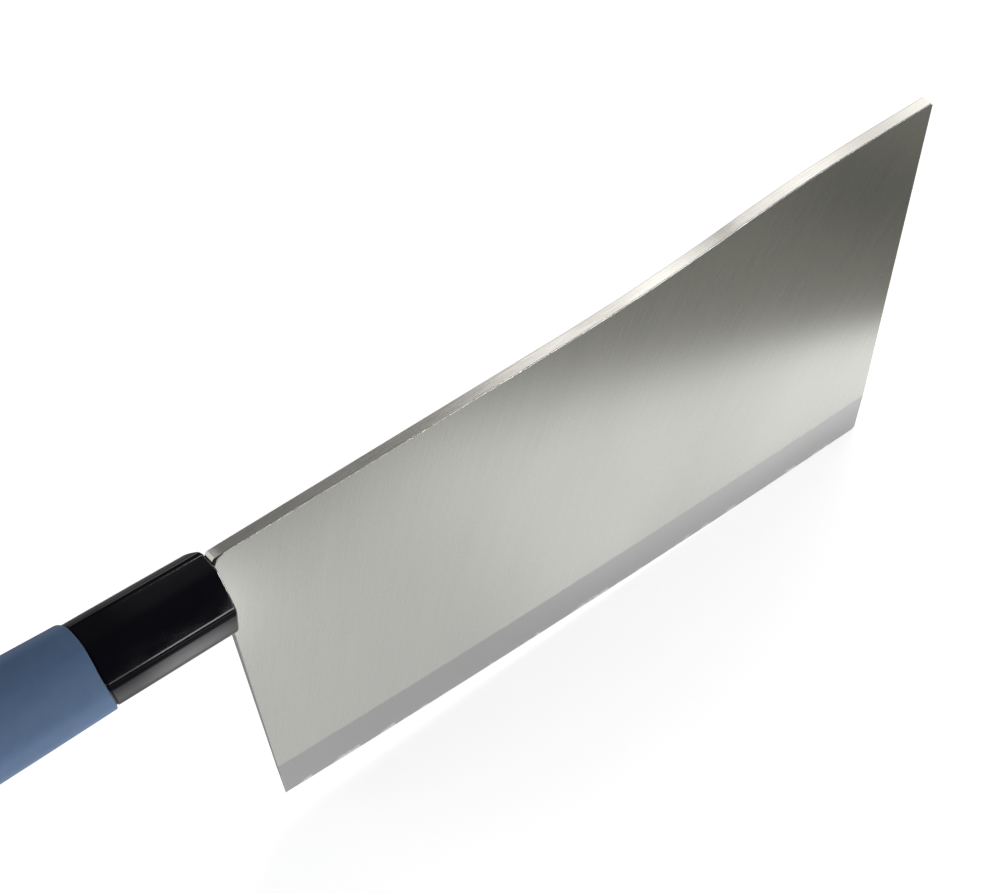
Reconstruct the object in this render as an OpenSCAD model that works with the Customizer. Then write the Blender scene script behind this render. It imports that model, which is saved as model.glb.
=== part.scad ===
// Chinese cleaver: a tall, slim slicing blade on a stick tang, a gloss black bolster
// and a matte grip, glued up round the tang.
// X runs from the grip to the tip, Y across the blade and Z from the cutting edge up to the spine.
// The modules work from the point where the spine meets the bolster. place() then stands the
// knife on its edge, with the middle of its box over the origin.

/* [Blade outline] */
// Length of the spine, from the bolster to the tip
spine_length = 185; // [150:1:220]
// Height of the blade at the heel
heel_height = 86.6; // [70:0.2:100]
// How much lower the cutting edge lies at the tip than at the heel
edge_drop = 5.4; // [0:0.1:12]
// How far the heel corner lies in front of the bolster
heel_rake = 9.7; // [2:0.1:16]
// How far the lower tip corner lies behind the upper one
tip_rake = 9.4; // [0:0.1:20]
// How far the spine rises on its way to the tip
spine_rise = 5.2; // [0.5:0.1:10]
// Length of straight spine in front of the bolster, before the rise
straight_spine = 84; // [50:1:100]
// Length of level spine at the tip, after the rise
level_spine = 14; // [2:1:20]
// How far the cutting edge bellies out below a straight line from heel to tip
belly = 1.5; // [0.8:0.1:4]
// Radius of the lower tip corner
tip_radius = 2; // [0.6:0.1:6]
// Size of the bevel on the upper tip corner
tip_bevel = 0.6; // [0.1:0.1:2]

/* [Blade grind] */
// Thickness at the spine, beside the bolster
spine_thickness = 2.54; // [1.8:0.02:3.6]
// Thickness where the bevel starts
shoulder_thickness = 1.2; // [0.7:0.02:1.6]
// Height of the bevel above the edge
bevel_height = 11.3; // [6:0.1:16]
// Height of the fine honed facet at the very edge
honed_height = 0.5; // [0.2:0.05:1]
// Angle of the honed facet to the middle of the blade
honed_angle = 14; // [8:0.5:20]
// Width of the flat left at the edge
edge_width = 0.03; // [0.02:0.01:0.1]

/* [Neck and tang] */
// Thickness of the neck and the tang
neck_thickness = 1.9; // [1.2:0.02:2.4]
// Radius of the upper rear corner of the ground faces
face_corner = 3.3; // [1.5:0.1:6]
// Height of the neck inside the bolster
neck_height = 13; // [9.5:0.1:13.4]
// Length of the neck behind the front of the bolster
neck_length = 9; // [5:0.5:16]
// How far the spine drops where it meets the bolster
spine_drop = 0.6; // [0.3:0.05:0.9]
// Height of the tang behind the neck
tang_height = 9; // [7.5:0.1:9.4]
// Height of the tang at its end
tang_end_height = 6; // [4.5:0.1:7]
// Length of the tang behind the front of the bolster
tang_length = 96; // [60:1:105]
// Chamfer on the corners at the tang's end
tang_chamfer = 2; // [0.5:0.1:2.2]
// Radius of the glue notches in the tang
notch_radius = 1.6; // [0.8:0.1:2]
// Number of glue notches along the tang
notch_count = 3; // [1:1:5]

/* [Bolster] */
// Width of the bolster at its front
bolster_width = 17.2; // [15:0.1:22]
// Height of the bolster at its front
bolster_height = 19.6; // [19:0.1:26]
// Length of the bolster
bolster_length = 27; // [20:0.5:36]
// How much wider and taller the bolster is at its rear
bolster_flare = 0.6; // [0:0.1:2]
// Rounding of the bolster's front rim
rim_radius = 0.9; // [0.4:0.1:1.6]
// Chamfer on the bolster's rear rim
rear_chamfer = 0.25; // [0.1:0.05:0.6]

/* [Grip] */
// Length of the grip behind the bolster
grip_length = 105; // [95:1:130]
// How far the grip stands proud of the bolster on every side
grip_proud = 0.4; // [0.1:0.1:1]
// Width of the grip where it is fullest
grip_width = 21; // [19.5:0.1:25]
// Height of the grip where it is fullest
grip_height = 24.4; // [23:0.1:29]
// Distance from the butt to where the grip is fullest
swell_from_butt = 32; // [25:1:45]
// How much narrower and lower the grip is just before the butt
butt_draw = 1.2; // [0.4:0.1:3]
// Rounding of the butt
butt_radius = 4; // [2:0.1:5]
// Rounding of the grip's front rim
grip_rim = 0.5; // [0.2:0.1:1]
// Gap that shows as a dark line between the bolster and the grip
shadow_gap = 0.4; // [0.2:0.05:0.8]

/* [Handle section and fits] */
// Angle by which the handle rises behind the blade
handle_angle = 1.6; // [0:0.1:4]
// Share of the width that the flat top and bottom take
top_share = 0.28; // [0.2:0.01:0.4]
// Share of the height that the flat sides take
side_share = 0.3; // [0.2:0.01:0.4]
// Rounding of the eight long edges of the bolster
bolster_edge = 2.5; // [1.5:0.1:4]
// Rounding of the eight long edges of the grip
grip_edge = 5; // [3:0.1:6]
// Clearance of the neck in the bolster's slot, each side
slot_clearance = 0.1; // [0.05:0.01:0.2]
// Glue space round the tang, each side
glue_space = 0.8; // [0.5:0.05:1]
// Glue space beyond the end of the tang
glue_end = 2; // [1:0.5:4]
// Length of the grip's tenon in the bolster
tenon_length = 8; // [5:0.5:10]
// Wall between the tang's glue and the outside of the tenon
tenon_wall = 1.6; // [1.2:0.05:1.7]
// Clearance of the tenon in the bolster, each side and at its end
tenon_clearance = 0.1; // [0.05:0.01:0.2]

/* [Hidden] */
$fn = 96;
eps = 0.01;
// How far a shape reaches into or past its neighbour, so that they join or cut cleanly
overlap = 1;
overshoot = 20;

steel = "#a9aaa6";
black = "#111114";
slate_blue = "#4a6484";
resin = "#c9b98a";

// Spine: straight, then an S of two equal arcs, then level to the tip
rise_end = spine_length - level_spine;
rise_half = (rise_end - straight_spine) / 2;
rise_radius = (pow(rise_half, 2) + pow(spine_rise / 2, 2)) / spine_rise;
rise_steps = 24;
function arc_drop(d) = rise_radius - sqrt(pow(rise_radius, 2) - pow(d, 2));
function spine_z(x) =
    x <= straight_spine ? 0 :
    x <= straight_spine + rise_half ? arc_drop(x - straight_spine) :
    x <= rise_end ? spine_rise - arc_drop(rise_end - x) : spine_rise;

// Cutting edge: one arc from the heel corner to the lower tip corner
tip_height = heel_height + edge_drop + spine_rise;
heel_top = [0, -face_corner];
heel_corner = [heel_rake, -heel_height];
function heel_x(z) = heel_rake * (heel_top[1] - z) / (heel_top[1] + heel_height);
tip_top = [spine_length, spine_rise];
tip_corner = [spine_length - tip_rake, spine_rise - tip_height];
edge_chord = tip_corner - heel_corner;
edge_radius = (pow(norm(edge_chord) / 2, 2) + pow(belly, 2)) / (2 * belly);
edge_up = [-edge_chord[1], edge_chord[0]] / norm(edge_chord);
edge_centre = (heel_corner + tip_corner) / 2 + edge_up * (edge_radius - belly);

// Lower tip corner: an arc that meets the front and crosses the edge at a small angle
function unit(v) = v / norm(v);
function angle_of(v) = atan2(v[1], v[0]);
front_up = unit(tip_top - tip_corner);
front_in = [-front_up[1], front_up[0]];
tip_out = unit(tip_corner - edge_centre);
edge_back = [tip_out[1], -tip_out[0]];
corner_angle = acos(front_up * edge_back);
corner_reach = tip_radius / tan(corner_angle / 2);
corner_overlap = 0.04;
corner_centre = tip_corner + front_up * (corner_reach - corner_overlap) + front_in * tip_radius;
corner_steps = 8;
corner_start = angle_of(tip_out);
corner_end = angle_of(-front_in);
edge_low = edge_centre[0] > corner_centre[0] ? corner_centre[1] - tip_radius :
    edge_centre[0] < heel_corner[0] ? heel_corner[1] : edge_centre[1] - edge_radius;

// Faces: one plane each side, thinning evenly towards the chord of the cutting edge
function face_level(p) = p * edge_up;
bevel_top = face_level(heel_corner) + bevel_height;
face_slope = (spine_thickness - shoulder_thickness) / 2 / -bevel_top;
function face_y(level) = spine_thickness / 2 + face_slope * level;
honed_y = edge_width / 2 + honed_height * tan(honed_angle);
bevel_slope = (shoulder_thickness / 2 - honed_y) / (bevel_height - honed_height);
disc_depth = tip_height + spine_rise + overshoot;
disc_angle = 2 * asin((spine_length / 2 + overshoot) / edge_radius);
disc_fn = 7200;

// Handle frame: the handle's axis starts at the bolster's front and rises to the rear
bolster_x = -0.5;
axis_drop = 10.5;
tang_start = -neck_length + overlap;
function from_handle(p) = [
    p[0] * cos(handle_angle) + p[1] * sin(handle_angle),
    -axis_drop - p[0] * sin(handle_angle) + p[1] * cos(handle_angle)
];
bolster_rear = bolster_x - bolster_length;
grip_x = bolster_rear - shadow_gap;
grip_rear = grip_x - grip_length;
glue_width = neck_thickness + 2 * glue_space;
glue_height = tang_height + 2 * glue_space;
glue_front = -neck_length - slot_clearance;
glue_rear = -tang_length - glue_end;
tenon_width = glue_width + 2 * tenon_wall;
tenon_height = glue_height + 2 * tenon_wall;
tenon_front = bolster_rear + tenon_length;

// The whole knife stands on its edge over the origin
flat_butt = grip_height / 2 - butt_draw / 2 - butt_radius;
rear_x = grip_rear * cos(handle_angle) - flat_butt * sin(handle_angle);
middle_x = (spine_length + rear_x) / 2;

module place() {
    translate([-middle_x, 0, -edge_low])
        children();
}

module handle_frame() {
    translate([0, 0, -axis_drop])
        rotate([0, handle_angle, 0])
            children();
}

// Upright plate of a given thickness with an outline in X and Z
module upright(thickness) {
    rotate([90, 0, 0])
        linear_extrude(thickness, center = true)
            children();
}

module blade_outline() {
    rise = [for (i = [0 : rise_steps])
        let (x = straight_spine + 2 * rise_half * i / rise_steps) [x, spine_z(x)]];
    corner = [for (i = [0 : corner_steps])
        let (a = corner_start + (corner_end - corner_start) * i / corner_steps)
        corner_centre + tip_radius * [cos(a), sin(a)]];
    polygon(concat(
        [[0, 0]],
        rise,
        [tip_top - [tip_bevel, 0], tip_top - front_up * tip_bevel],
        [for (i = [corner_steps : -1 : 0]) corner[i]],
        [[corner[0][0], corner[0][1] - overshoot]],
        [heel_corner + unit(heel_corner - heel_top) * overshoot, heel_top]
    ));
}

module face_wedge() {
    high = face_level(tip_top) + overlap;
    low = face_level(heel_corner) - belly - overlap;
    rotate([0, -angle_of(edge_chord), 0])
        rotate([90, 0, 90])
            linear_extrude(3 * spine_length, center = true)
                polygon([
                    [-face_y(high), high], [face_y(high), high],
                    [face_y(low), low], [-face_y(low), low]
                ]);
}

// Disc that holds the bevels, with the cutting edge as its rim
module edge_disc() {
    inner = edge_radius - disc_depth;
    inner_y = honed_y + (disc_depth - honed_height) * bevel_slope;
    honed = edge_radius - honed_height;
    translate([edge_centre[0], 0, edge_centre[1]])
        rotate([90, 0, 0])
            rotate([0, 0, angle_of(-edge_up) - disc_angle / 2])
                rotate_extrude(angle = disc_angle, $fn = disc_fn)
                    polygon([
                        [inner, -inner_y], [honed, -honed_y], [edge_radius, -edge_width / 2],
                        [edge_radius, edge_width / 2], [honed, honed_y], [inner, inner_y]
                    ]);
}

// Corner of the faces beside the neck, which is ground back to the neck's thickness
module corner_relief() {
    reach = face_corner + overlap;
    for (side = [-1, 1])
        translate([0, side * (neck_thickness / 2 + spine_thickness / 2), 0])
            upright(spine_thickness)
                difference() {
                    translate([-overlap, -face_corner])
                        square([reach, reach]);
                    translate([face_corner, -face_corner])
                        circle(face_corner);
                }
}

// Collar that closes the space between the ground faces and the front of the bolster
module collar_outline() {
    low = -bolster_height / 2 + rim_radius;
    bottom = from_handle([bolster_x, low]);
    inside = face_corner + overlap;
    polygon([
        [inside, 0], [spine_drop / 4, 0], from_handle([bolster_x, axis_drop - spine_drop]),
        bottom, [heel_x(bottom[1]) + overlap, bottom[1]], [inside, -face_corner]
    ]);
}

module neck_outline() {
    translate([-neck_length, -neck_height / 2])
        square([neck_length + bolster_x + eps, neck_height]);
}

module tang_outline() {
    nose = tang_end_height / 2 - tang_chamfer;
    shoulder = -tang_length + tang_chamfer;
    pitch = (tang_length + grip_x) / (notch_count + 1);
    difference() {
        polygon([
            [tang_start, tang_height / 2], [shoulder, tang_end_height / 2],
            [-tang_length, nose], [-tang_length, -nose],
            [shoulder, -tang_end_height / 2], [tang_start, -tang_height / 2]
        ]);
        for (i = [1 : notch_count], side = [-1, 1])
            translate([grip_x - pitch * i, side * tang_height / 2])
                circle(notch_radius);
    }
}

module blade_steel() {
    difference() {
        intersection() {
            upright(2 * spine_thickness)
                blade_outline();
            face_wedge();
            edge_disc();
        }
        corner_relief();
    }
    upright(neck_thickness)
        collar_outline();
    handle_frame()
        upright(neck_thickness) {
            neck_outline();
            tang_outline();
        }
}

// Outline of the handle across its axis: eight flats with rounded edges between them
function section_points(width, height, edge) =
    let (
        w = width / 2 - edge,
        h = height / 2 - edge,
        tw = max(width * top_share / 2 - edge * tan(22.5), 0.2),
        sh = max(height * side_share / 2 - edge * tan(22.5), 0.2),
        quarter = [[w, sh], [tw, h]],
        steps = 5,
        slant = atan2(h - sh, w - tw),
        turn = [[0, 90 - slant], [90 - slant, 90]]
    )
    [for (q = [0 : 3], c = [0 : 1], i = [0 : steps])
        let (
            odd = q % 2 == 1,
            k = odd ? 1 - c : c,
            j = odd ? steps - i : i,
            a = turn[k][0] + (turn[k][1] - turn[k][0]) * j / steps,
            p = quarter[k] + edge * [cos(a), sin(a)],
            sx = (q == 1 || q == 2) ? -1 : 1,
            sy = (q == 2 || q == 3) ? -1 : 1
        )
        [sx * p[0], sy * p[1]]];

// Thin slice of the handle at x, used to stretch a skin over a row of slices
module slice(x, width, height, edge) {
    translate([x, 0, 0])
        rotate([90, 0, 90])
            linear_extrude(eps)
                polygon(section_points(width, height, edge));
}

module bolster_body() {
    rear_width = bolster_width + bolster_flare;
    rear_height = bolster_height + bolster_flare;
    hull() {
        for (a = [0 : 22.5 : 90]) {
            inset = 2 * rim_radius * (1 - sin(a));
            slice(bolster_x - rim_radius * (1 - cos(a)) - eps, bolster_width - inset,
                bolster_height - inset, bolster_edge);
        }
        slice(bolster_rear + rear_chamfer, rear_width, rear_height, bolster_edge);
        slice(bolster_rear, rear_width - 2 * rear_chamfer, rear_height - 2 * rear_chamfer,
            bolster_edge);
    }
}

module bolster_solid() {
    slot_width = neck_thickness + 2 * slot_clearance;
    difference() {
        bolster_body();
        // Slot for the neck
        translate([glue_front, -slot_width / 2, -neck_height / 2 - slot_clearance])
            cube([neck_length + overlap, slot_width, neck_height + 2 * slot_clearance]);
        // Passage for the tang and its glue
        translate([bolster_rear, -glue_width / 2, -glue_height / 2])
            cube([glue_front - bolster_rear + eps, glue_width, glue_height]);
        // Socket for the grip's tenon
        translate([bolster_rear, 0, 0])
            cube([2 * (tenon_length + tenon_clearance), tenon_width + 2 * tenon_clearance,
                tenon_height + 2 * tenon_clearance], center = true);
    }
}

module blade() {
    color(steel)
        place()
            blade_steel();
}

module bolster() {
    color(black)
        place()
            handle_frame()
                bolster_solid();
}

module grip_body() {
    front_width = bolster_width + bolster_flare + 2 * grip_proud;
    front_height = bolster_height + bolster_flare + 2 * grip_proud;
    swell_x = grip_rear + swell_from_butt;
    swell_steps = 8;
    hull() {
        slice(grip_x - eps, front_width - 2 * grip_rim, front_height - 2 * grip_rim, grip_edge);
        for (i = [0 : swell_steps]) {
            u = i / swell_steps;
            full = sin(90 * u);
            slice(grip_x - grip_rim + (swell_x - grip_x + grip_rim) * u,
                front_width + (grip_width - front_width) * full,
                front_height + (grip_height - front_height) * full, grip_edge);
        }
        for (a = [0 : 15 : 90]) {
            inset = 2 * butt_radius * (1 - cos(a));
            slice(grip_rear + butt_radius * (1 - sin(a)), grip_width - butt_draw - inset,
                grip_height - butt_draw - inset, grip_edge);
        }
    }
}

module grip() {
    color(slate_blue)
        place()
            handle_frame()
                difference() {
                    union() {
                        grip_body();
                        translate([grip_x - overlap, -tenon_width / 2, -tenon_height / 2])
                            cube([tenon_front - grip_x + overlap, tenon_width, tenon_height]);
                    }
                    // Cavity for the tang and its glue
                    translate([glue_rear, -glue_width / 2, -glue_height / 2])
                        cube([tenon_front - glue_rear + overlap, glue_width, glue_height]);
                }
}

module tang_adhesive() {
    color(resin)
        place()
            handle_frame()
                difference() {
                    translate([glue_rear, -glue_width / 2, -glue_height / 2])
                        cube([glue_front - glue_rear, glue_width, glue_height]);
                    upright(neck_thickness)
                        tang_outline();
                }
}

blade();
bolster();
grip();
tang_adhesive();
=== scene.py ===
import math

import bmesh
import bpy
import numpy as np
from mathutils import Matrix, Vector
from mathutils.geometry import delaunay_2d_cdt


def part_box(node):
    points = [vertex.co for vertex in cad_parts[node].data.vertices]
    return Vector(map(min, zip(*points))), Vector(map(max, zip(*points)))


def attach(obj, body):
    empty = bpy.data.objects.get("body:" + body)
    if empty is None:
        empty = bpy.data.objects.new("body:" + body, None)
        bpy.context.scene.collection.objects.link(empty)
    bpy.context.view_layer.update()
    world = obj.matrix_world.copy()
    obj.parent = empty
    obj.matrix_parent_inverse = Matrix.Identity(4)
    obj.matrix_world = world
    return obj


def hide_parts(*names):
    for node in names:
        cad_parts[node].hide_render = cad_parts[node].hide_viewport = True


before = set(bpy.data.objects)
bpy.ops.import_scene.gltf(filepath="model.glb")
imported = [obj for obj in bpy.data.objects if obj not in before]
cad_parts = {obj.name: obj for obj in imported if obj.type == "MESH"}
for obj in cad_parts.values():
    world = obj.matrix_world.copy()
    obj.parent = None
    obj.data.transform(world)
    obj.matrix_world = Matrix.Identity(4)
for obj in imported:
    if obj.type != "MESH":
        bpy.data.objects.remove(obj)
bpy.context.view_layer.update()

# Sizes in millimetres, measured from the junction, where the spine meets the bolster.
# X runs to the tip and Z up, as in the solids.
MM = 0.001

# Blade
SPINE_LENGTH = 185.0
SPINE_RISE = 5.2
STRAIGHT_SPINE = 84.0
LEVEL_SPINE = 14.0
HEEL_CORNER = np.array([9.7, -86.6])
TIP_TOP = np.array([SPINE_LENGTH, SPINE_RISE])
TIP_CORNER = np.array([175.6, -92.0])
BELLY = 1.5
TIP_RADIUS = 1.0
TIP_BEVEL = 0.6
FACE_CORNER = 2.8
SPINE_THICKNESS = 2.54
SHOULDER_THICKNESS = 1.2
BEVEL_HEIGHT = 11.3
HONED_HEIGHT = 0.5
HONED_HALF = 0.1397
EDGE_HALF = 0.015
CREASE_ANGLE = math.radians(30)

# Eased rim of the blade: its reach, the most that it takes of the half thickness, the lines
# that the mesh follows there, and the sideways part of a normal below which a face counts as
# eased, and as the lip, which is painted bright as a highlight
RIM = 0.2
RIM_OF_HALF = 0.6
RIM_STEPS = (0.015, 0.05, 0.1, 0.15, 0.2, 0.32)
EASED_NORMAL = 0.9985
LIP_NORMAL = 0.96

# Less than this apart, a point counts as lying on a line
HAIR = 0.004

# Mesh of the blade: millimetres between points, where rows of points start and end, the angle
# at which the tip's corner meets the edge, and the millimetres to one unit of the UV map
WALL_STEP = 3
OUTLINE_STEP = 2.0
CREASE_STEP = 1.5
FACE_STEP = 4
LOWEST_ROW = -88
FIRST_ON_SPINE = 5.3
SHOULDER_ENDS = (HEEL_CORNER[0] - 0.7, TIP_CORNER[0] + 0.6)
HONED_ENDS = (HEEL_CORNER[0] + 0.4, TIP_CORNER[0] - 1.2)
EDGE_MEETS_CORNER = -89.8
GRAIN_UNIT = 200

# How far points within the faces stay from the rim, the honed facet and the shoulder, and the
# sharpest bend that a path keeps as it moves inward
RIM_MARGIN = 1
HONED_MARGIN = 1.5
SHOULDER_MARGIN = 1.2
BEND_LIMIT = 0.7

# Upper line of the bevel: waves of height, length and start
WAVES = ((0.16, 7.3, 1), (0.1, 3.1, 0), (0.12, 19, 2))

# Grinding lines: how far they lean at the bolster, how much more with every millimetre, and
# the distance between the stronger ones
LINES_LEAN = 0.12
LINES_FAN = 0.0035
LINES_PITCH = 0.9

# Neck and tang
NECK_THICKNESS = 2.32
TANG_THICKNESS = 1.9
TANG_THICKNESS_FROM = -2.0
NECK_LENGTH = 9.0
NECK_HEIGHT = 13.0
NECK_TOP_X = 0.15
SPINE_DROP = 0.6
TANG_LENGTH = 96.0
TANG_HEIGHT = 9.0
TANG_END_HEIGHT = 6.0
TANG_CHAMFER = 2.0

# Handle, along its own axis
HANDLE_ANGLE = math.radians(1.6)
AXIS_DROP = 10.5
HEEL_LEAVES_COLLAR = -8.9
BOLSTER_FRONT = -0.5
BOLSTER_REAR = -27.5
GRIP_FRONT = -27.9
GRIP_REAR = -132.9
CORE_GAP = 0.06

# Seam of bolster and grip: heights on the axis, and how far it moves there
SEAM_BOTTOM, SEAM_TOP = -8, 7
SEAM_FORWARD, SEAM_BACK = 0.9, -1.45

blade_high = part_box("blade")[1]
TIP_LEAN = math.atan2(TIP_TOP[0] - TIP_CORNER[0], TIP_TOP[1] - TIP_CORNER[1])
BLADE_REACH = SPINE_LENGTH - TIP_BEVEL * math.sin(TIP_LEAN)
junction = Vector((blade_high.x - BLADE_REACH * MM, 0, blade_high.z - SPINE_RISE * MM))


# Node helpers

class Wire:
    """A node's output that can be added, multiplied and so on."""

    def __init__(self, tree, socket):
        self.tree = tree
        self.socket = socket

    def to(self, place):
        self.tree.links.new(self.socket, place)

    def math(self, operation, *others):
        node = self.tree.nodes.new("ShaderNodeMath")
        node.operation = operation
        for place, value in zip(node.inputs, (self, *others)):
            fill(place, value)
        return Wire(self.tree, node.outputs[0])

    def __add__(self, other):
        return self.math("ADD", other)

    def __sub__(self, other):
        return self.math("SUBTRACT", other)

    def __mul__(self, other):
        return self.math("MULTIPLY", other)

    def __truediv__(self, other):
        return self.math("DIVIDE", other)


def fill(place, value):
    if isinstance(value, Wire):
        value.to(place)
    else:
        place.default_value = value


def add_node(tree, kind, settings=None, output=0, **inputs):
    """Adds a node and returns one of its outputs."""
    node = tree.nodes.new(kind)
    for name, value in (settings or {}).items():
        setattr(node, name, value)
    for name, value in inputs.items():
        fill(node.inputs[name.replace("_", " ")], value)
    return Wire(tree, node.outputs[output]) if node.outputs else node


def vector(tree, x, y, z):
    node = tree.nodes.new("ShaderNodeCombineXYZ")
    for place, value in zip(node.inputs, (x, y, z)):
        fill(place, value)
    return Wire(tree, node.outputs[0])


def split(wire):
    """The X, Y and Z of a vector."""
    node = wire.tree.nodes.new("ShaderNodeSeparateXYZ")
    wire.to(node.inputs[0])
    return [Wire(wire.tree, s) for s in node.outputs]


def span(tree, value, low, high, to_low, to_high, smooth=False):
    """Maps one range of a value to another, and holds the ends."""
    settings = {"interpolation_type": "SMOOTHSTEP"} if smooth else {}
    return add_node(tree, "ShaderNodeMapRange", settings, Value=value, From_Min=low,
                    From_Max=high, To_Min=to_low, To_Max=to_high)


def rise(tree, value, low, high):
    """0 up to low, smoothly to 1 at high."""
    return span(tree, value, low, high, 0.0, 1.0, True)


def fall(tree, value, low, high):
    """1 up to low, smoothly to 0 at high."""
    return span(tree, value, low, high, 1.0, 0.0, True)


def add_object(name, data):
    """A new object in the scene."""
    added = bpy.data.objects.new(name, data)
    bpy.context.scene.collection.objects.link(added)
    return added


# Blade

def blade_curves():
    """The edge's circle, the direction up from its chord, and those up and in from the tip."""
    chord = TIP_CORNER - HEEL_CORNER
    half = np.linalg.norm(chord) / 2
    radius = (half ** 2 + BELLY ** 2) / (2 * BELLY)
    up = np.array([-chord[1], chord[0]]) / (2 * half)
    centre = (HEEL_CORNER + TIP_CORNER) / 2 + up * (radius - BELLY)
    front_up = (TIP_TOP - TIP_CORNER) / np.linalg.norm(TIP_TOP - TIP_CORNER)
    front_in = np.array([-front_up[1], front_up[0]])
    return centre, radius, up, front_up, front_in


EDGE_CENTRE, EDGE_RADIUS, CHORD_UP, FRONT_UP, FRONT_IN = blade_curves()
FACE_SLOPE = (SPINE_THICKNESS - SHOULDER_THICKNESS) / 2 / -(HEEL_CORNER @ CHORD_UP + BEVEL_HEIGHT)
BEVEL_SLOPE = (SHOULDER_THICKNESS / 2 - HONED_HALF) / (BEVEL_HEIGHT - HONED_HEIGHT)


def spine_height(x):
    """Height of the spine: straight, then an S of two equal arcs, then level."""
    end = SPINE_LENGTH - LEVEL_SPINE
    half = (end - STRAIGHT_SPINE) / 2
    radius = (half ** 2 + (SPINE_RISE / 2) ** 2) / SPINE_RISE

    def drop(d):
        return radius - math.sqrt(radius ** 2 - d ** 2)

    if x <= STRAIGHT_SPINE:
        return 0.0
    if x >= end:
        return SPINE_RISE
    return drop(x - STRAIGHT_SPINE) if x < STRAIGHT_SPINE + half else SPINE_RISE - drop(end - x)


def edge_height(x, depth=0.0):
    """Height of the cutting edge, or of a line a given depth above it."""
    return EDGE_CENTRE[1] - math.sqrt((EDGE_RADIUS - depth) ** 2 - (x - EDGE_CENTRE[0]) ** 2)


def heel_x(z):
    """Where the straight heel lies at a height."""
    return HEEL_CORNER[0] * (-FACE_CORNER - z) / (-FACE_CORNER - HEEL_CORNER[1])


def from_handle(x, z):
    """A point along and above the handle's axis, measured from the junction."""
    c, s = math.cos(HANDLE_ANGLE), math.sin(HANDLE_ANGLE)
    return x * c + z * s, -AXIS_DROP - x * s + z * c


def straight(a, b, step):
    """Points from a up to but not including b, no more than a step apart."""
    count = max(1, math.ceil(math.dist(a, b) / step))
    return [tuple(np.add(a, np.subtract(b, a) * i / count)) for i in range(count)]


def arc(centre, radius, start, end, count):
    """Points on an arc between two angles in degrees."""
    x, z = centre
    turns = np.radians(np.linspace(start, end, count + 1))
    return [(x + radius * math.cos(a), z + radius * math.sin(a)) for a in turns]


def blade_outline():
    """The outline's parts: heel, step beside the neck, spine and tip, edge, neck and tang."""
    collar = from_handle(BOLSTER_FRONT, HEEL_LEAVES_COLLAR)
    collar_heel = (heel_x(collar[1]), collar[1])
    heel = straight(HEEL_CORNER, collar_heel, WALL_STEP)
    step = straight(collar_heel, (0, -FACE_CORNER), OUTLINE_STEP)
    step += arc((FACE_CORNER, -FACE_CORNER), FACE_CORNER, 180, 90, 14)
    spine_xs = np.arange(FIRST_ON_SPINE, SPINE_LENGTH - TIP_BEVEL, OUTLINE_STEP)
    spine = [(x, spine_height(x)) for x in spine_xs]
    spine.append((SPINE_LENGTH - TIP_BEVEL, SPINE_RISE))
    base = TIP_CORNER + FRONT_IN * TIP_RADIUS - EDGE_CENTRE
    b = base @ FRONT_UP
    reach = -b - math.sqrt(b ** 2 - base @ base + (EDGE_RADIUS - TIP_RADIUS) ** 2)
    round_centre = EDGE_CENTRE + base + FRONT_UP * reach
    front_turn = math.degrees(math.atan2(-FRONT_IN[1], -FRONT_IN[0]))
    corner = arc(round_centre, TIP_RADIUS, front_turn, EDGE_MEETS_CORNER, 10)
    tip = straight(TIP_TOP - FRONT_UP * TIP_BEVEL, corner[0], WALL_STEP)
    edge_xs = np.arange(corner[-1][0] - OUTLINE_STEP, HEEL_CORNER[0] + 1, -OUTLINE_STEP)
    edge = [(x, edge_height(x)) for x in edge_xs]
    neck = [collar, from_handle(BOLSTER_FRONT, -NECK_HEIGHT / 2),
            from_handle(-NECK_LENGTH, -NECK_HEIGHT / 2)]
    tang = [(-NECK_LENGTH, TANG_HEIGHT / 2), (-TANG_LENGTH + TANG_CHAMFER, TANG_END_HEIGHT / 2),
            (-TANG_LENGTH, TANG_END_HEIGHT / 2 - TANG_CHAMFER)]
    neck += [from_handle(x, -z) for x, z in tang]
    neck += [from_handle(x, z) for x, z in reversed(tang)]
    neck += [from_handle(-NECK_LENGTH, NECK_HEIGHT / 2),
             from_handle(BOLSTER_FRONT, NECK_HEIGHT / 2),
             from_handle(BOLSTER_FRONT, AXIS_DROP - SPINE_DROP), (NECK_TOP_X, 0.0)]
    return heel, step, spine + tip + corner, edge, neck


def inward(path, distance):
    """The path moved to its right by a distance."""
    p = np.array(path)
    along = np.diff(p, axis=0)
    along /= np.linalg.norm(along, axis=1)[:, None]
    before = np.vstack([along[:1], along])
    after = np.vstack([along, along[-1:]])
    across = before + after
    across /= np.linalg.norm(across, axis=1)[:, None]
    stretch = np.clip((across * after).sum(1), BEND_LIMIT, 1)
    return p + np.c_[across[:, 1], -across[:, 0]] * (distance / stretch)[:, None]


def in_outline(loop, points):
    """Which points lie within a closed outline."""
    within = np.zeros(len(points), bool)
    for (ax, az), (bx, bz) in zip(loop, loop[1:] + loop[:1]):
        if az != bz:
            crosses = (az > points[:, 1]) != (bz > points[:, 1])
            within ^= crosses & (points[:, 0] < ax + (bx - ax) * (points[:, 1] - az) / (bz - az))
    return within


def distance_to(path, points):
    """Each point's distance to an open path."""
    a, b = np.array(path[:-1]), np.array(path[1:])
    ab = b - a
    best = np.full(len(points), np.inf)
    for start, run in zip(a, ab):
        t = np.clip((points - start) @ run / (run @ run), 0, 1)
        best = np.minimum(best, np.linalg.norm(points - start - t[:, None] * run, axis=1))
    return best


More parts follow.
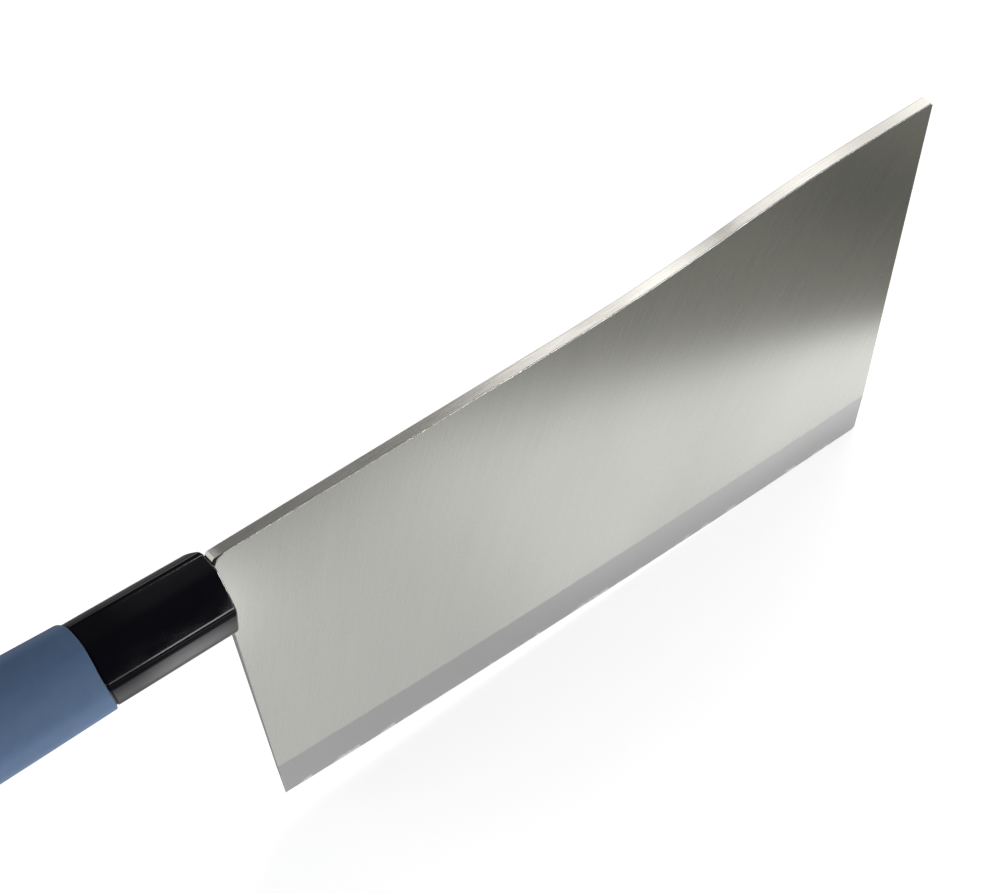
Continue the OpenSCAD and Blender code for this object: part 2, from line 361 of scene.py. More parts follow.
def half_thickness(points):
    """Half the plate's thickness at points of its outline's plane, before its rim is eased."""
    face = SPINE_THICKNESS / 2 + FACE_SLOPE * (points @ CHORD_UP)
    depth = EDGE_RADIUS - np.linalg.norm(points - EDGE_CENTRE, axis=1)
    bevel = HONED_HALF + (depth - HONED_HEIGHT) * BEVEL_SLOPE
    honed = EDGE_HALF + depth * (HONED_HALF - EDGE_HALF) / HONED_HEIGHT
    return np.maximum(np.minimum(np.minimum(face, bevel), honed), EDGE_HALF)


def behind_faces(points):
    """Which points of the plate's plane lie on the neck, behind the ground faces."""
    x, z = points[:, 0], points[:, 1]
    corner = (z > -FACE_CORNER) & (x < FACE_CORNER)
    out_of_round = np.hypot(x - FACE_CORNER, z + FACE_CORNER) > FACE_CORNER - HAIR
    return (x < heel_x(z) - HAIR) | corner & out_of_round


def waviness(x):
    """How far the upper line of the bevel wanders, as grinding by eye leaves it."""
    return sum(height * math.sin(x / length + start) for height, length, start in WAVES)


def draw(points, lines, path, start=None, end=None):
    """Adds a path to a drawing and returns the numbers of its lines."""
    ids = list(range(len(points), len(points) + len(path)))
    points.extend(tuple(p) for p in path)
    if start is not None:
        ids = [start] + ids
    if end is not None:
        ids.append(end)
    added = list(zip(ids, ids[1:]))
    lines.extend(added)
    return range(len(lines) - len(added), len(lines))


def plate_drawing(rim, bottom, neck, step_ids):
    """The plate's points, the lines that its triangles keep, and the numbers of the crisp ones."""
    points = [tuple(p) for p in rim + bottom]
    lines = [(i, (i + 1) % len(points)) for i in range(len(points))]
    crisp = set(step_ids)
    crisp.update(draw(points, lines, neck, step_ids.start, step_ids.stop))
    for distance in RIM_STEPS:
        draw(points, lines, inward(rim, distance))

    # The bevel's two creases stop just short of the walls
    crisp.update(draw(points, lines, [(x, edge_height(x, BEVEL_HEIGHT + waviness(x)))
                                      for x in np.arange(*SHOULDER_ENDS, CREASE_STEP)]))
    crisp.update(draw(points, lines, [(x, edge_height(x, HONED_HEIGHT))
                                      for x in np.arange(*HONED_ENDS, CREASE_STEP)]))

    # Points within the faces, clear of the rim and the creases
    for x in np.arange(FACE_STEP, SPINE_LENGTH, FACE_STEP):
        for z in np.arange(LOWEST_ROW, SPINE_RISE, FACE_STEP):
            depth = EDGE_RADIUS - math.dist((x, z), EDGE_CENTRE)
            tip_x = TIP_CORNER[0] + math.tan(TIP_LEAN) * (z - TIP_CORNER[1])
            between = heel_x(z) + RIM_MARGIN < x < tip_x - RIM_MARGIN
            below_spine = z < spine_height(x) - RIM_MARGIN
            off_creases = depth > HONED_MARGIN and abs(depth - BEVEL_HEIGHT) > SHOULDER_MARGIN
            if between and below_spine and off_creases:
                points.append((x, z))
    return points, lines, crisp


def eased_half(flat, rim, step):
    """Half the plate's thickness at each point, with its rim eased and the neck and tang flat."""
    half = half_thickness(flat)
    rounding = np.minimum(RIM, RIM_OF_HALF * half)
    inside = np.clip(distance_to(rim, flat), 0, rounding)
    half -= rounding - np.sqrt(rounding ** 2 - (rounding - inside) ** 2)
    behind = (distance_to(step, flat) < HAIR) | behind_faces(flat)
    half[behind] = NECK_THICKNESS / 2
    half[flat[:, 0] < TANG_THICKNESS_FROM] = TANG_THICKNESS / 2
    return half


def build_plate(mesh, flat, faces, half):
    """Both faces, and the walls between them; returns each side's points and the first wall."""
    place = [junction + Vector((x, 0, z)) * MM for x, z in flat]
    right = [mesh.verts.new(p + Vector((0, -h * MM, 0))) for p, h in zip(place, half)]
    left = [mesh.verts.new(p + Vector((0, h * MM, 0))) for p, h in zip(place, half)]
    for face in faces:
        mesh.faces.new([right[i] for i in face])
        mesh.faces.new([left[i] for i in reversed(face)])
    border = [edge for edge in mesh.edges if len(edge.link_faces) == 1]
    first_wall = len(mesh.faces)
    index = {v: i for i, v in enumerate(right)}
    for edge in border:
        a, b = edge.verts
        if a in index:
            i, j = index[a], index[b]
            mesh.faces.new([right[i], right[j], left[j], left[i]])
    return right, left, first_wall


def crease_borders(mesh, walls, eased):
    """Crisp edges round the walls and the eased strip, and wherever the surface turns sharply."""
    for edge in mesh.edges:
        ends = [len(group.intersection(edge.link_faces)) == 1 for group in (walls, eased)]
        if any(ends) or edge.calc_face_angle(0) > CREASE_ANGLE:
            edge.smooth = False


def mark_parts(mesh, walls, eased):
    """The direction of the grinding lines, and which part of the blade each face is."""
    grain = mesh.loops.layers.uv.new("grain")
    part = mesh.loops.layers.float_color.new("part")
    for face in mesh.faces:
        middle = (face.calc_center_median() - junction) / MM
        on_border = face in walls
        on_top = on_border and face.normal.z > 0.5
        on_wall = on_border and not on_top
        on_neck = abs(face.normal.y) > 0.7 \
            and behind_faces(np.array([[middle.x, middle.z]]))[0]
        on_lip = face in eased and abs(face.normal.y) < LIP_NORMAL \
            and (face.normal.z > 0.15 or middle.x < FACE_CORNER + 1)
        face.smooth = True
        for loop in face.loops:
            p = (loop.vert.co - junction) / MM
            lean = LINES_LEAN + LINES_FAN * p.x
            lines = (p.y, p.x) if on_top else (p.x - lean * p.z, p.z)
            loop[grain].uv = (lines[0] / GRAIN_UNIT, lines[1] / GRAIN_UNIT)
            loop[part] = (on_top, on_neck, on_wall, on_lip)


def ground_blade():
    """The blade's plate: two ground faces over one flat triangulation, joined by its walls."""
    heel, step, front, bottom, neck = blade_outline()
    rim = heel + step + front
    step_ids = range(len(heel), len(heel) + len(step) - 1)
    points, lines, crisp = plate_drawing(rim, bottom, neck, step_ids)
    only_inside, weld = 1, 1e-5
    flat, lines, faces, _, line_ids, _ = delaunay_2d_cdt(
        [Vector(p) for p in points], lines, [], only_inside, weld, True)
    flat = np.array([tuple(p) for p in flat])
    whole = heel + step[:1] + neck + step[-1:] + front + bottom
    middles = np.array([flat[list(face)].mean(0) for face in faces])
    faces = [face for face, kept in zip(faces, in_outline(whole, middles)) if kept]

    mesh = bmesh.new()
    right, left, first_wall = build_plate(mesh, flat, faces, eased_half(flat, rim, step))
    for (i, j), ids in zip(lines, line_ids):
        for side in (right, left):
            edge = mesh.edges.get((side[i], side[j])) if crisp & set(ids) else None
            if edge:
                edge.smooth = False
    bmesh.ops.delete(mesh, geom=[v for v in mesh.verts if not v.link_faces], context="VERTS")
    mesh.faces.ensure_lookup_table()
    bmesh.ops.recalc_face_normals(mesh, faces=mesh.faces)
    walls = set(mesh.faces[first_wall:])
    eased = {f for f in mesh.faces if f not in walls and abs(f.normal.y) < EASED_NORMAL}
    crease_borders(mesh, walls, eased)
    mark_parts(mesh, walls, eased)
    data = bpy.data.meshes.new("ground_blade")
    mesh.to_mesh(data)
    mesh.free()
    return add_object("ground_blade", data)


# Handle skins: a rounded octagon drawn along the handle's axis

SKIN_SIZES = ("Front", "Rear", "Front Width", "Front Height", "Full Width", "Full Height",
              "Full At", "Butt Draw", "Front Rounding", "Rear Rounding", "Rear Step",
              "Edge Rounding")
SKIN_SHARES = ("Top Share", "Side Share", "Crown", "Front Seam", "Rear Seam")
SKIN_COUNTS = ("Rings", "Points Round")
CORNER_POINTS = 12

# Points nearer than this, in metres, are merged: in the node tree, and once more after it
TREE_DOUBLES = 5e-7
MESH_DOUBLES = 1e-7


def skin_sockets(tree):
    """Gives the tree its output and its named inputs, and returns the inputs."""
    for name in SKIN_SIZES + SKIN_SHARES:
        tree.interface.new_socket(name, in_out="INPUT", socket_type="NodeSocketFloat")
    for name in SKIN_COUNTS:
        tree.interface.new_socket(name, in_out="INPUT", socket_type="NodeSocketInt")
    tree.interface.new_socket("Finish", in_out="INPUT", socket_type="NodeSocketMaterial")
    tree.interface.new_socket("Geometry", in_out="OUTPUT", socket_type="NodeSocketGeometry")
    group_in = tree.nodes.new("NodeGroupInput")
    return {s.name: Wire(tree, s) for s in group_in.outputs if s.name}


def octagon(tree, size, half_w, half_h):
    """The section's curve: eight corners, rounded."""
    ring = add_node(tree, "GeometryNodeMeshCircle", Vertices=8, Radius=1.0)
    index = add_node(tree, "GeometryNodeInputIndex")
    turn = (index + 0.5) * (math.pi / 4)
    cos, sin = turn.math("COSINE"), turn.math("SINE")
    wide = cos.math("ABSOLUTE").math("GREATER_THAN", 0.6)
    narrow = wide.math("SUBTRACT", 1.0).math("ABSOLUTE")
    y = cos.math("SIGN") * half_w * (wide + narrow * size["Top Share"])
    z = sin.math("SIGN") * half_h * (narrow + wide * size["Side Share"])
    ring = add_node(tree, "GeometryNodeSetPosition", Geometry=ring,
                    Position=vector(tree, y, z, 0.0))
    curve = add_node(tree, "GeometryNodeMeshToCurve", Mesh=ring)
    fillet = tree.nodes.new("GeometryNodeFilletCurve")
    fillet.mode = "POLY"
    fill(fillet.inputs["Curve"], curve)
    fill(fillet.inputs["Count"], CORNER_POINTS)
    fill(fillet.inputs["Radius"], size["Edge Rounding"])
    return Wire(tree, fillet.outputs[0])


def drawn_in(distance, radius):
    """How far a rounded rim draws in at a distance from its end."""
    reach = (radius - distance.math("MINIMUM", radius)).math("MAXIMUM", 0.0)
    return radius - (radius * radius - reach * reach).math("MAXIMUM", 0.0).math("SQRT")


def handle_skin_tree():
    """Geometry Nodes for a bar of octagonal section with rounded ends, from named sizes."""
    tree = bpy.data.node_groups.new("handle_skin", "GeometryNodeTree")
    size = skin_sockets(tree)
    half_w, half_h = size["Full Width"] * 0.5, size["Full Height"] * 0.5

    # Grid of rings along the handle, each ring's x by its row
    grid = add_node(tree, "GeometryNodeMeshGrid", Size_X=1.0, Size_Y=1.0,
                    Vertices_X=size["Rings"], Vertices_Y=size["Points Round"])
    position = add_node(tree, "GeometryNodeInputPosition")
    u, v, _ = split(position)
    last = size["Rings"] - 1.0
    row = ((u + 0.5) * last).math("ROUND")
    body = ((row - 1.0) / (last - 2.0)).math("MAXIMUM", 0.0).math("MINIMUM", 1.0)
    along = (body * math.pi).math("COSINE") * -0.5 + 0.5
    x = size["Front"] + (size["Rear"] - size["Front"]) * along
    closed = row.math("LESS_THAN", 0.5) + row.math("GREATER_THAN", last - 0.5)
    open_ring = closed * -1.0 + 1.0
    swell = ((x - size["Front"]) / (size["Full At"] - size["Front"])).math("MINIMUM", 1.0)
    swell = (swell * (math.pi / 2)).math("SINE")
    tail = ((x - size["Full At"]) / (size["Rear"] - size["Full At"])).math("MAXIMUM", 0.0)
    tail = tail * tail

    # Behind the rear step the piece stays narrow by the rounding, and so closes the seam's gap
    inset = drawn_in(size["Front"] - x, size["Front Rounding"]) \
        + drawn_in(x - size["Rear"] - size["Rear Step"], size["Rear Rounding"]) \
        + size["Butt Draw"] * tail * 0.5

    def scale(front, full):
        grown = front + (full - front) * swell
        return (grown - inset * 2.0) / full * open_ring

    scale_w = scale(size["Front Width"], size["Full Width"])
    scale_h = scale(size["Front Height"], size["Full Height"])

    # The section's point for each point round a ring
    sample = tree.nodes.new("GeometryNodeSampleCurve")
    sample.mode = "FACTOR"
    sample.use_all_curves = True
    fill(sample.inputs["Curves"], octagon(tree, size, half_w, half_h))
    around = v + 0.5
    fill(sample.inputs["Factor"], around * around.math("LESS_THAN", 0.9999))
    section = Wire(tree, sample.outputs["Position"])
    py, pz, _ = split(section)

    # A slight crown on the flats, towards an oval of the same width and height
    oval = ((py / half_w) * (py / half_w) + (pz / half_h) * (pz / half_h)).math("SQRT")
    crown = (oval.math("POWER", -1.0) - 1.0) * size["Crown"] + 1.0
    high = pz * crown * scale_h

    # The seam of bolster and grip sweeps forward from the top to the underside
    part_way = ((x - size["Front"]) / (size["Rear"] - size["Front"])).math("MAXIMUM", 0.0)
    share = size["Front Seam"] + (size["Rear Seam"] - size["Front Seam"]) * part_way
    sweep = span(tree, high, SEAM_BOTTOM * MM, SEAM_TOP * MM, SEAM_FORWARD * MM,
                 SEAM_BACK * MM, True)
    placed = vector(tree, x + sweep * share, py * crown * scale_w, high)
    grid = add_node(tree, "GeometryNodeSetPosition", Geometry=grid, Position=placed)
    grid = add_node(tree, "GeometryNodeMergeByDistance", Geometry=grid, Distance=TREE_DOUBLES)
    grid = add_node(tree, "GeometryNodeTransform", Geometry=grid,
                    Rotation=(0.0, HANDLE_ANGLE, 0.0),
                    Translation=tuple(junction + Vector((0, 0, -AXIS_DROP * MM))))
    grid = add_node(tree, "GeometryNodeSetShadeSmooth", Geometry=grid)
    grid = add_node(tree, "GeometryNodeRealizeInstances", Geometry=grid)
    grid = add_node(tree, "GeometryNodeSetMaterial", Geometry=grid, Material=size["Finish"])
    group_out = tree.nodes.new("NodeGroupOutput")
    grid.to(group_out.inputs["Geometry"])
    return tree


def handle_skin(name, tree, finish, sizes):
    """A piece made by the handle's node tree, turned into a plain mesh."""
    bare = add_object(name + "_rule", bpy.data.meshes.new(name + "_rule"))
    rule = bare.modifiers.new("skin", "NODES")
    rule.node_group = tree
    for item in tree.interface.items_tree:
        if item.in_out == "INPUT":
            if item.name == "Finish":
                rule[item.identifier] = finish
            elif item.name in SKIN_SIZES:
                rule[item.identifier] = sizes[item.name] * MM
            else:
                rule[item.identifier] = sizes[item.name]
    bare.update_tag()
    seen = bare.evaluated_get(bpy.context.evaluated_depsgraph_get())
    data = bpy.data.meshes.new_from_object(seen)
    data.name = name
    bpy.data.objects.remove(bare)
    mesh = bmesh.new()
    mesh.from_mesh(data)
    bmesh.ops.remove_doubles(mesh, verts=mesh.verts, dist=MESH_DOUBLES)
    bmesh.ops.recalc_face_normals(mesh, faces=mesh.faces)
    mesh.to_mesh(data)
    mesh.free()
    return add_object(name, data)


# Finishes

FACE_DARK, FACE_PALE = (0.42, 0.422, 0.397), (0.445, 0.447, 0.42)
BEVEL_DARK, BEVEL_PALE = (0.325, 0.325, 0.325), (0.355, 0.355, 0.355)
BEVEL_FAR = (0.45, 0.45, 0.45)
HONED_GLINT = (0.56, 0.56, 0.54)
SPINE_DARK, SPINE_PALE = (0.365, 0.358, 0.33), (0.51, 0.5, 0.46)
SPINE_TINT = (0.5, 0.41, 0.39)
SPINE_NEAR_PAINTED_SHADE = (0.24, 0.24, 0.235)
SPINE_PAINTED_HIGHLIGHT = (0.82, 0.8, 0.74)
SPINE_WORN = (0.22, 0.215, 0.2)
SPINE_END_PAINTED_LIGHT = (0.85, 0.85, 0.8)
SPINE_GLINT = (0.95, 0.95, 0.85)
NECK_PAINTED_SHADE = (0.02, 0.018, 0.018)
WALL_PAINTED_SHADE = (0.19, 0.19, 0.18)
RIM_PAINTED_HIGHLIGHT = (0.95, 0.95, 0.93)
BLACK, BLACK_PAINTED_REFLECTION = (0.004, 0.004, 0.006), (0.045, 0.046, 0.048)
BLUE_DARK, BLUE_PALE = (0.07, 0.124, 0.224), (0.077, 0.135, 0.244)
RESIN_DARK, RESIN_PALE = (0.5, 0.4, 0.2), (0.64, 0.54, 0.3)


def new_material(name, roughness, colour, metallic=0.0):
    material = bpy.data.materials.new(name)
    material.use_nodes = True
    tree = material.node_tree
    shader = tree.nodes["Principled BSDF"]
    shader.inputs["Roughness"].default_value = roughness
    shader.inputs["Base Color"].default_value = (*colour, 1)
    shader.inputs["Metallic"].default_value = metallic
    return material, tree, shader


def junction_position(tree):
    """X, Y and Z in millimetres from the junction."""
    place = add_node(tree, "ShaderNodeTexCoord", output=3)
    moved = add_node(tree, "ShaderNodeMapping", settings={"vector_type": "POINT"}, Vector=place,
                     Location=tuple(-junction / MM), Scale=(1 / MM,) * 3)
    return split(moved)


def noise(tree, position, scale=1.0, detail=2.0):
    return add_node(tree, "ShaderNodeTexNoise", Vector=position, Scale=scale, Detail=detail)


def bump(tree, height, strength, distance):
    return add_node(tree, "ShaderNodeBump", Height=height, Strength=strength, Distance=distance)


def blend(tree, amount, a, b):
    """Mixes two colours."""
    node = tree.nodes.new("ShaderNodeMix")
    node.data_type = "RGBA"
    fill(node.inputs[0], amount)
    for place, value in ((node.inputs[6], a), (node.inputs[7], b)):
        fill(place, value if isinstance(value, Wire) else (*value, 1))
    return Wire(tree, node.outputs[2])


def face_finish(tree, x, across, z, lines, fine):
    """Faint shades along the grinding lines, the stronger passes with them."""
    broad = noise(tree, vector(tree, across * 0.06, z * 0.03, 7.0), detail=2.0)
    speckle = noise(tree, vector(tree, x * 2.0, z * 2.0, 4.0), detail=3.0)
    passes = (across * (2 * math.pi / LINES_PITCH)).math("SINE") \
        * rise(tree, broad, 0.45, 0.6) * span(tree, x, 60.0, 90.0, 1.0, 0.3)
    shade = lines * 0.25 + fine * 0.25 + broad * 0.3 + speckle * 0.2 + passes * 0.04
    return blend(tree, span(tree, shade, 0.38, 0.62, 0.0, 1.0), FACE_DARK, FACE_PALE)


def bevel_finish(tree, x, z):
    """Satin, and paler towards the tip."""
    satin = noise(tree, vector(tree, x * 3.0, z * 3.0, 1.0), detail=3.0)
    colour = blend(tree, span(tree, satin, 0.35, 0.65, 0.0, 1.0), BEVEL_DARK, BEVEL_PALE)
    return blend(tree, span(tree, x, 70.0, 150.0, 0.0, 0.5, True), colour, BEVEL_FAR)


def honed_glints(tree, x, depth, bevel):
    """Painted glints: small bright flecks along the honed facet."""
    glint_noise = noise(tree, vector(tree, x * 0.35, depth * 0.5, 11.0), detail=2.0)
    return rise(tree, glint_noise - depth * 0.12, 0.46, 0.5) * bevel \
        * fall(tree, depth, 0.9, 1.6) * span(tree, depth, 0.2, 0.45, 0.0, 1.0)


def spine_finish(tree, x, y, marks):
    """Marks along the spine, faintly tinted, painted darker as shade towards the bolster, with a
    painted highlight along a middle stretch, and worn patches.
    """
    tint = noise(tree, vector(tree, x * 0.12, y * 3.0, 9.0), detail=1.0)
    colour = blend(tree, span(tree, marks, 0.35, 0.65, 0.0, 1.0), SPINE_DARK, SPINE_PALE)
    colour = blend(tree, span(tree, tint, 0.5, 0.7, 0.0, 0.35), colour, SPINE_TINT)
    # Painted shade: the spine darker towards the bolster
    colour = blend(tree, span(tree, x, 30.0, 60.0, 0.35, 0.0, True), colour, SPINE_NEAR_PAINTED_SHADE)
    # Painted highlight: a middle stretch of the spine painted pale
    painted_highlight = span(tree, x, 92.0, 112.0, 0.0, 0.6, True) * fall(tree, x, 124.0, 138.0)
    colour = blend(tree, painted_highlight, colour, SPINE_PAINTED_HIGHLIGHT)
    worn = ((x - 168.0) / 6.0).math("COSINE") * 0.3 + 0.5 + marks * 0.8 - 0.4
    worn = worn * span(tree, x, 130.0, 156.0, 0.3, 1.0, True)
    return blend(tree, worn * 0.8, colour, SPINE_WORN)


def ground_steel():
    """Brushed faces, satin bevel, marked spine, and painted light: a neck and walls painted dark
    as shade, and a rim painted bright as a highlight.
    """
    material, tree, shader = new_material("ground_steel", 0.3, (0.43, 0.43, 0.41), 1.0)
    x, y, z = junction_position(tree)
    part = tree.nodes.new("ShaderNodeAttribute")
    part.attribute_name = "part"
    on_top, on_neck, on_wall = split(Wire(tree, part.outputs["Vector"]))
    on_lip = Wire(tree, part.outputs["Alpha"])

    # From the spine down, grinding lines lean towards the handle, more so near the tip
    across = x - (x * LINES_FAN + LINES_LEAN) * z
    lines = noise(tree, vector(tree, across * 1.1, z * 0.03, 0.0), detail=1.0)
    fine = noise(tree, vector(tree, across * 4.0, z * 0.06, 3.0), detail=2.0)
    marks = noise(tree, vector(tree, x * 0.15, y * 6.0, 2.0), detail=3.0)

    # The bevel by its depth above the cutting edge
    dx, dz = x - EDGE_CENTRE[0], z - EDGE_CENTRE[1]
    depth = (dx * dx + dz * dz).math("SQRT") * -1.0 + EDGE_RADIUS
    wander = noise(tree, vector(tree, x * 0.25, 0.0, 5.0), detail=2.0)
    below = depth - wander * 0.9 + 0.45
    bevel = fall(tree, below, BEVEL_HEIGHT - 0.25, BEVEL_HEIGHT + 0.25)

    # Colour, part by part
    colour = face_finish(tree, x, across, z, lines, fine)
    colour = blend(tree, bevel, colour, bevel_finish(tree, x, z))
    # Painted glints along the honed facet
    colour = blend(tree, honed_glints(tree, x, depth, bevel), colour, HONED_GLINT)
    colour = blend(tree, on_top, colour, spine_finish(tree, x, y, marks))
    # Painted light: the spine's end is painted pale for the light its chamfer catches, though its
    # rougher finish is real, and its very end gets a painted glint
    near_end = span(tree, x + marks * 2.0, 1.4, 3.6, 0.4, 0.0, True) * on_top
    colour = blend(tree, near_end, colour, SPINE_END_PAINTED_LIGHT)
    # Painted shade: the neck, in the recess beside the bolster, painted near black for its shade
    # and the black bolster it reflects
    colour = blend(tree, on_neck, colour, NECK_PAINTED_SHADE)
    # Painted shade: the walls painted dark grey for the dark surroundings they reflect, though
    # their rougher finish is real
    colour = blend(tree, on_wall * 0.85, colour, WALL_PAINTED_SHADE)
    # Painted highlight: the eased lip painted bright, more so towards the tip
    rim_highlight = on_lip * span(tree, x, 40.0, 75.0, 0.0, 0.8, True)
    colour = blend(tree, rim_highlight, colour, RIM_PAINTED_HIGHLIGHT)
    end = span(tree, x, 0.4, 0.5, 1.0, 0.0) * on_top
    colour = blend(tree, end, colour, SPINE_GLINT)
    colour.to(shader.inputs["Base Color"])
    (end * -0.9 + 1.0).to(shader.inputs["Metallic"])

    # Sheen, drawn out across the grinding lines
    rough = span(tree, fine, 0.3, 0.7, 0.26, 0.31) + bevel * 0.16
    rough = rough * (on_top * -0.5 + 1.0) + (end + on_neck + near_end + on_wall) * 0.3
    rough.to(shader.inputs["Roughness"])
    ridges = (lines + fine) * 0.5 * (on_top * -1.0 - on_lip + 1.0) + marks * on_top
    bump(tree, ridges, 0.035, 0.00002).to(shader.inputs["Normal"])
    shader.inputs["Anisotropic"].default_value = 0.5
    tangent = tree.nodes.new("ShaderNodeTangent")
    tangent.direction_type = "UV_MAP"
    tangent.uv_map = "grain"
    tree.links.new(tangent.outputs[0], shader.inputs["Tangent"])
    return material


def gloss_black():
    material, tree, shader = new_material("gloss_black", 0.08, BLACK)
    shader.inputs["IOR"].default_value = 1.55
    x, y, z = junction_position(tree)
    along = x * math.cos(HANDLE_ANGLE) - (z + AXIS_DROP) * math.sin(HANDLE_ANGLE)
    rim = span(tree, along, BOLSTER_FRONT - 0.6, BOLSTER_FRONT - 0.3, 0.0, 0.75, True) \
        + span(tree, along, -24.0, -14.0, 0.05, 0.15, True)
    rim.to(shader.inputs["Specular IOR Level"])
    # Painted reflection: the bolster's lower sides painted a lighter black for the pale floor they
    # reflect
    painted_reflection = rise(tree, y.math("ABSOLUTE"), 8.3, 8.75) * rise(tree, z, -7.0, -12.5)
    blend(tree, painted_reflection, BLACK, BLACK_PAINTED_REFLECTION).to(shader.inputs["Base Color"])
    place = vector(tree, x, y, z)
    ripple = noise(tree, place, 0.25, 2)
    bump(tree, ripple, 0.15, 0.0001).to(shader.inputs["Normal"])
    smear = noise(tree, vector(tree, x * 0.4, y, z), 0.3, 3)
    span(tree, smear, 0.35, 0.7, 0.06, 0.14).to(shader.inputs["Roughness"])
    return material


def matte_blue():
    material, tree, shader = new_material("matte_blue", 0.55, (0.073, 0.129, 0.234))
    shader.inputs["Specular IOR Level"].default_value = 0.25
    x, y, z = junction_position(tree)
    place = vector(tree, x, y, z)
    mottle = noise(tree, place, 0.3, 4)
    colour = blend(tree, span(tree, mottle, 0.3, 0.7, 0, 1), BLUE_DARK, BLUE_PALE)
    colour.to(shader.inputs["Base Color"])
    grain = noise(tree, place, 3.0, 3)
    bump(tree, grain, 0.3, 0.00003).to(shader.inputs["Normal"])
    span(tree, grain, 0.3, 0.7, 0.5, 0.58).to(shader.inputs["Roughness"])
    return material


def cured_resin():
    material, tree, shader = new_material("cured_resin", 0.35, (0.58, 0.48, 0.25))
    x, y, z = junction_position(tree)
    cloud = noise(tree, vector(tree, x, y, z), 0.4, 3)
    colour = blend(tree, span(tree, cloud, 0.3, 0.7, 0, 1), RESIN_DARK, RESIN_PALE)
    colour.to(shader.inputs["Base Color"])
    return material


def dress_knife():
    blade = ground_blade()
    blade.data.materials.append(ground_steel())
    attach(blade, "root")
    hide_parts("blade")

    tree = handle_skin_tree()
    bolster = handle_skin("moulded_bolster", tree, gloss_black(), {
        "Front": BOLSTER_FRONT, "Rear": GRIP_FRONT + CORE_GAP,
        "Front Width": 17.2, "Front Height": 19.6, "Full Width": 17.8, "Full Height": 20.2,
        "Full At": BOLSTER_REAR - 12, "Butt Draw": 0.0,
        "Front Rounding": 0.5, "Rear Rounding": 0.25, "Edge Rounding": 2.5,
        "Rear Step": BOLSTER_REAR - GRIP_FRONT - CORE_GAP,
        "Top Share": 0.28, "Side Share": 0.3, "Crown": 0.12,
        "Front Seam": 0.0, "Rear Seam": 1.0, "Rings": 150, "Points Round": 257,
    })
    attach(bolster, "root")
    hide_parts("bolster")

    grip = handle_skin("moulded_grip", tree, matte_blue(), {
        "Front": GRIP_FRONT, "Rear": GRIP_REAR,
        "Front Width": 18.6, "Front Height": 21.0, "Full Width": 21.0, "Full Height": 24.4,
        "Full At": GRIP_REAR + 32, "Butt Draw": 1.2,
        "Front Rounding": 0.25, "Rear Rounding": 4.0, "Edge Rounding": 5.0, "Rear Step": 0.0,
        "Top Share": 0.28, "Side Share": 0.3, "Crown": 0.5,
        "Front Seam": 1.0, "Rear Seam": 0.0, "Rings": 220, "Points Round": 193,
    })
    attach(grip, "root")
    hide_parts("grip")

    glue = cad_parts["tang_adhesive"]
    glue.data.materials.clear()
    glue.data.materials.append(cured_resin())


# Floor, light and camera

FLOOR_HALF = 6.0
CARD_HEIGHT = 0.0005

# Camera: image width and focal length in pixels, sensor width and place in millimetres
IMAGE_WIDTH = 1000
FOCAL_LENGTH = 2600.44
SENSOR_WIDTH = 36
CAMERA_RIGHT = (0.772512, -0.634937, -0.008895)
CAMERA_DOWN = (-0.482557, -0.577894, -0.658162)
CAMERA_FORWARD = (0.412751, 0.51273, -0.752824)
CAMERA_FROM_JUNCTION = (-144.72, -264.569, 368.488)


def stage_plane(name, corners, material):
    mesh = bpy.data.meshes.new(name)
    mesh.from_pydata(corners, [], [(0, 1, 2, 3)])
    mesh.materials.append(material)
    plane = add_object(name, mesh)
    return plane


def pale_floor():
    """Dimmer to the camera and in reflections than as a light on the knife."""
    material, tree, shader = new_material("pale_floor", 0.9, (0.8, 0.8, 0.8))
    shader.inputs["Specular IOR Level"].default_value = 0.0
    path = tree.nodes.new("ShaderNodeLightPath")
    seen = Wire(tree, path.outputs["Is Camera Ray"]).math(
        "MAXIMUM", Wire(tree, path.outputs["Is Glossy Ray"])).math(
        "MAXIMUM", Wire(tree, path.outputs["Is Transmission Ray"]))
    (seen * -0.55 + 1.2).to(shader.inputs["Emission Strength"])
    shader.inputs["Emission Color"].default_value = (1, 1, 1, 1)
    r = FLOOR_HALF
    stage_plane("floor", [(-r, -r, 0), (r, -r, 0), (r, r, 0), (-r, r, 0)], material)


def reflection_card(name, x_span, y_span, shade):
    """A card on the floor that only reflections see, sized in millimetres and lit by shade."""
    material = bpy.data.materials.new(name)
    material.use_nodes = True
    tree = material.node_tree
    tree.nodes.remove(tree.nodes["Principled BSDF"])
    x, y, _ = junction_position(tree)
    colour, bright, cover = shade(tree, x, y)
    light = add_node(tree, "ShaderNodeEmission", Color=colour, Strength=bright)
    clear = add_node(tree, "ShaderNodeBsdfTransparent")
    mix = tree.nodes.new("ShaderNodeMixShader")
    cover.to(mix.inputs[0])
    clear.to(mix.inputs[1])
    light.to(mix.inputs[2])
    tree.links.new(mix.outputs[0], tree.nodes["Material Output"].inputs["Surface"])
    (x0, x1), (y0, y1) = x_span, y_span
    corners = [junction * Vector((1, 1, 0)) + Vector((a * MM, b * MM, CARD_HEIGHT))
               for a, b in ((x0, y0), (x1, y0), (x1, y1), (x0, y1))]
    card = stage_plane(name, corners, material)
    card.visible_camera = False
    card.visible_diffuse = False
    card.visible_shadow = False
    card.visible_transmission = False


def blot(tree, x, y, middle, size):
    """1 in the middle of an oval patch, fading to 0 at its rim."""
    dx, dy = (x - middle[0]) / size[0], (y - middle[1]) / size[1]
    return fall(tree, (dx * dx + dy * dy).math("SQRT"), 0.2, 1.0)


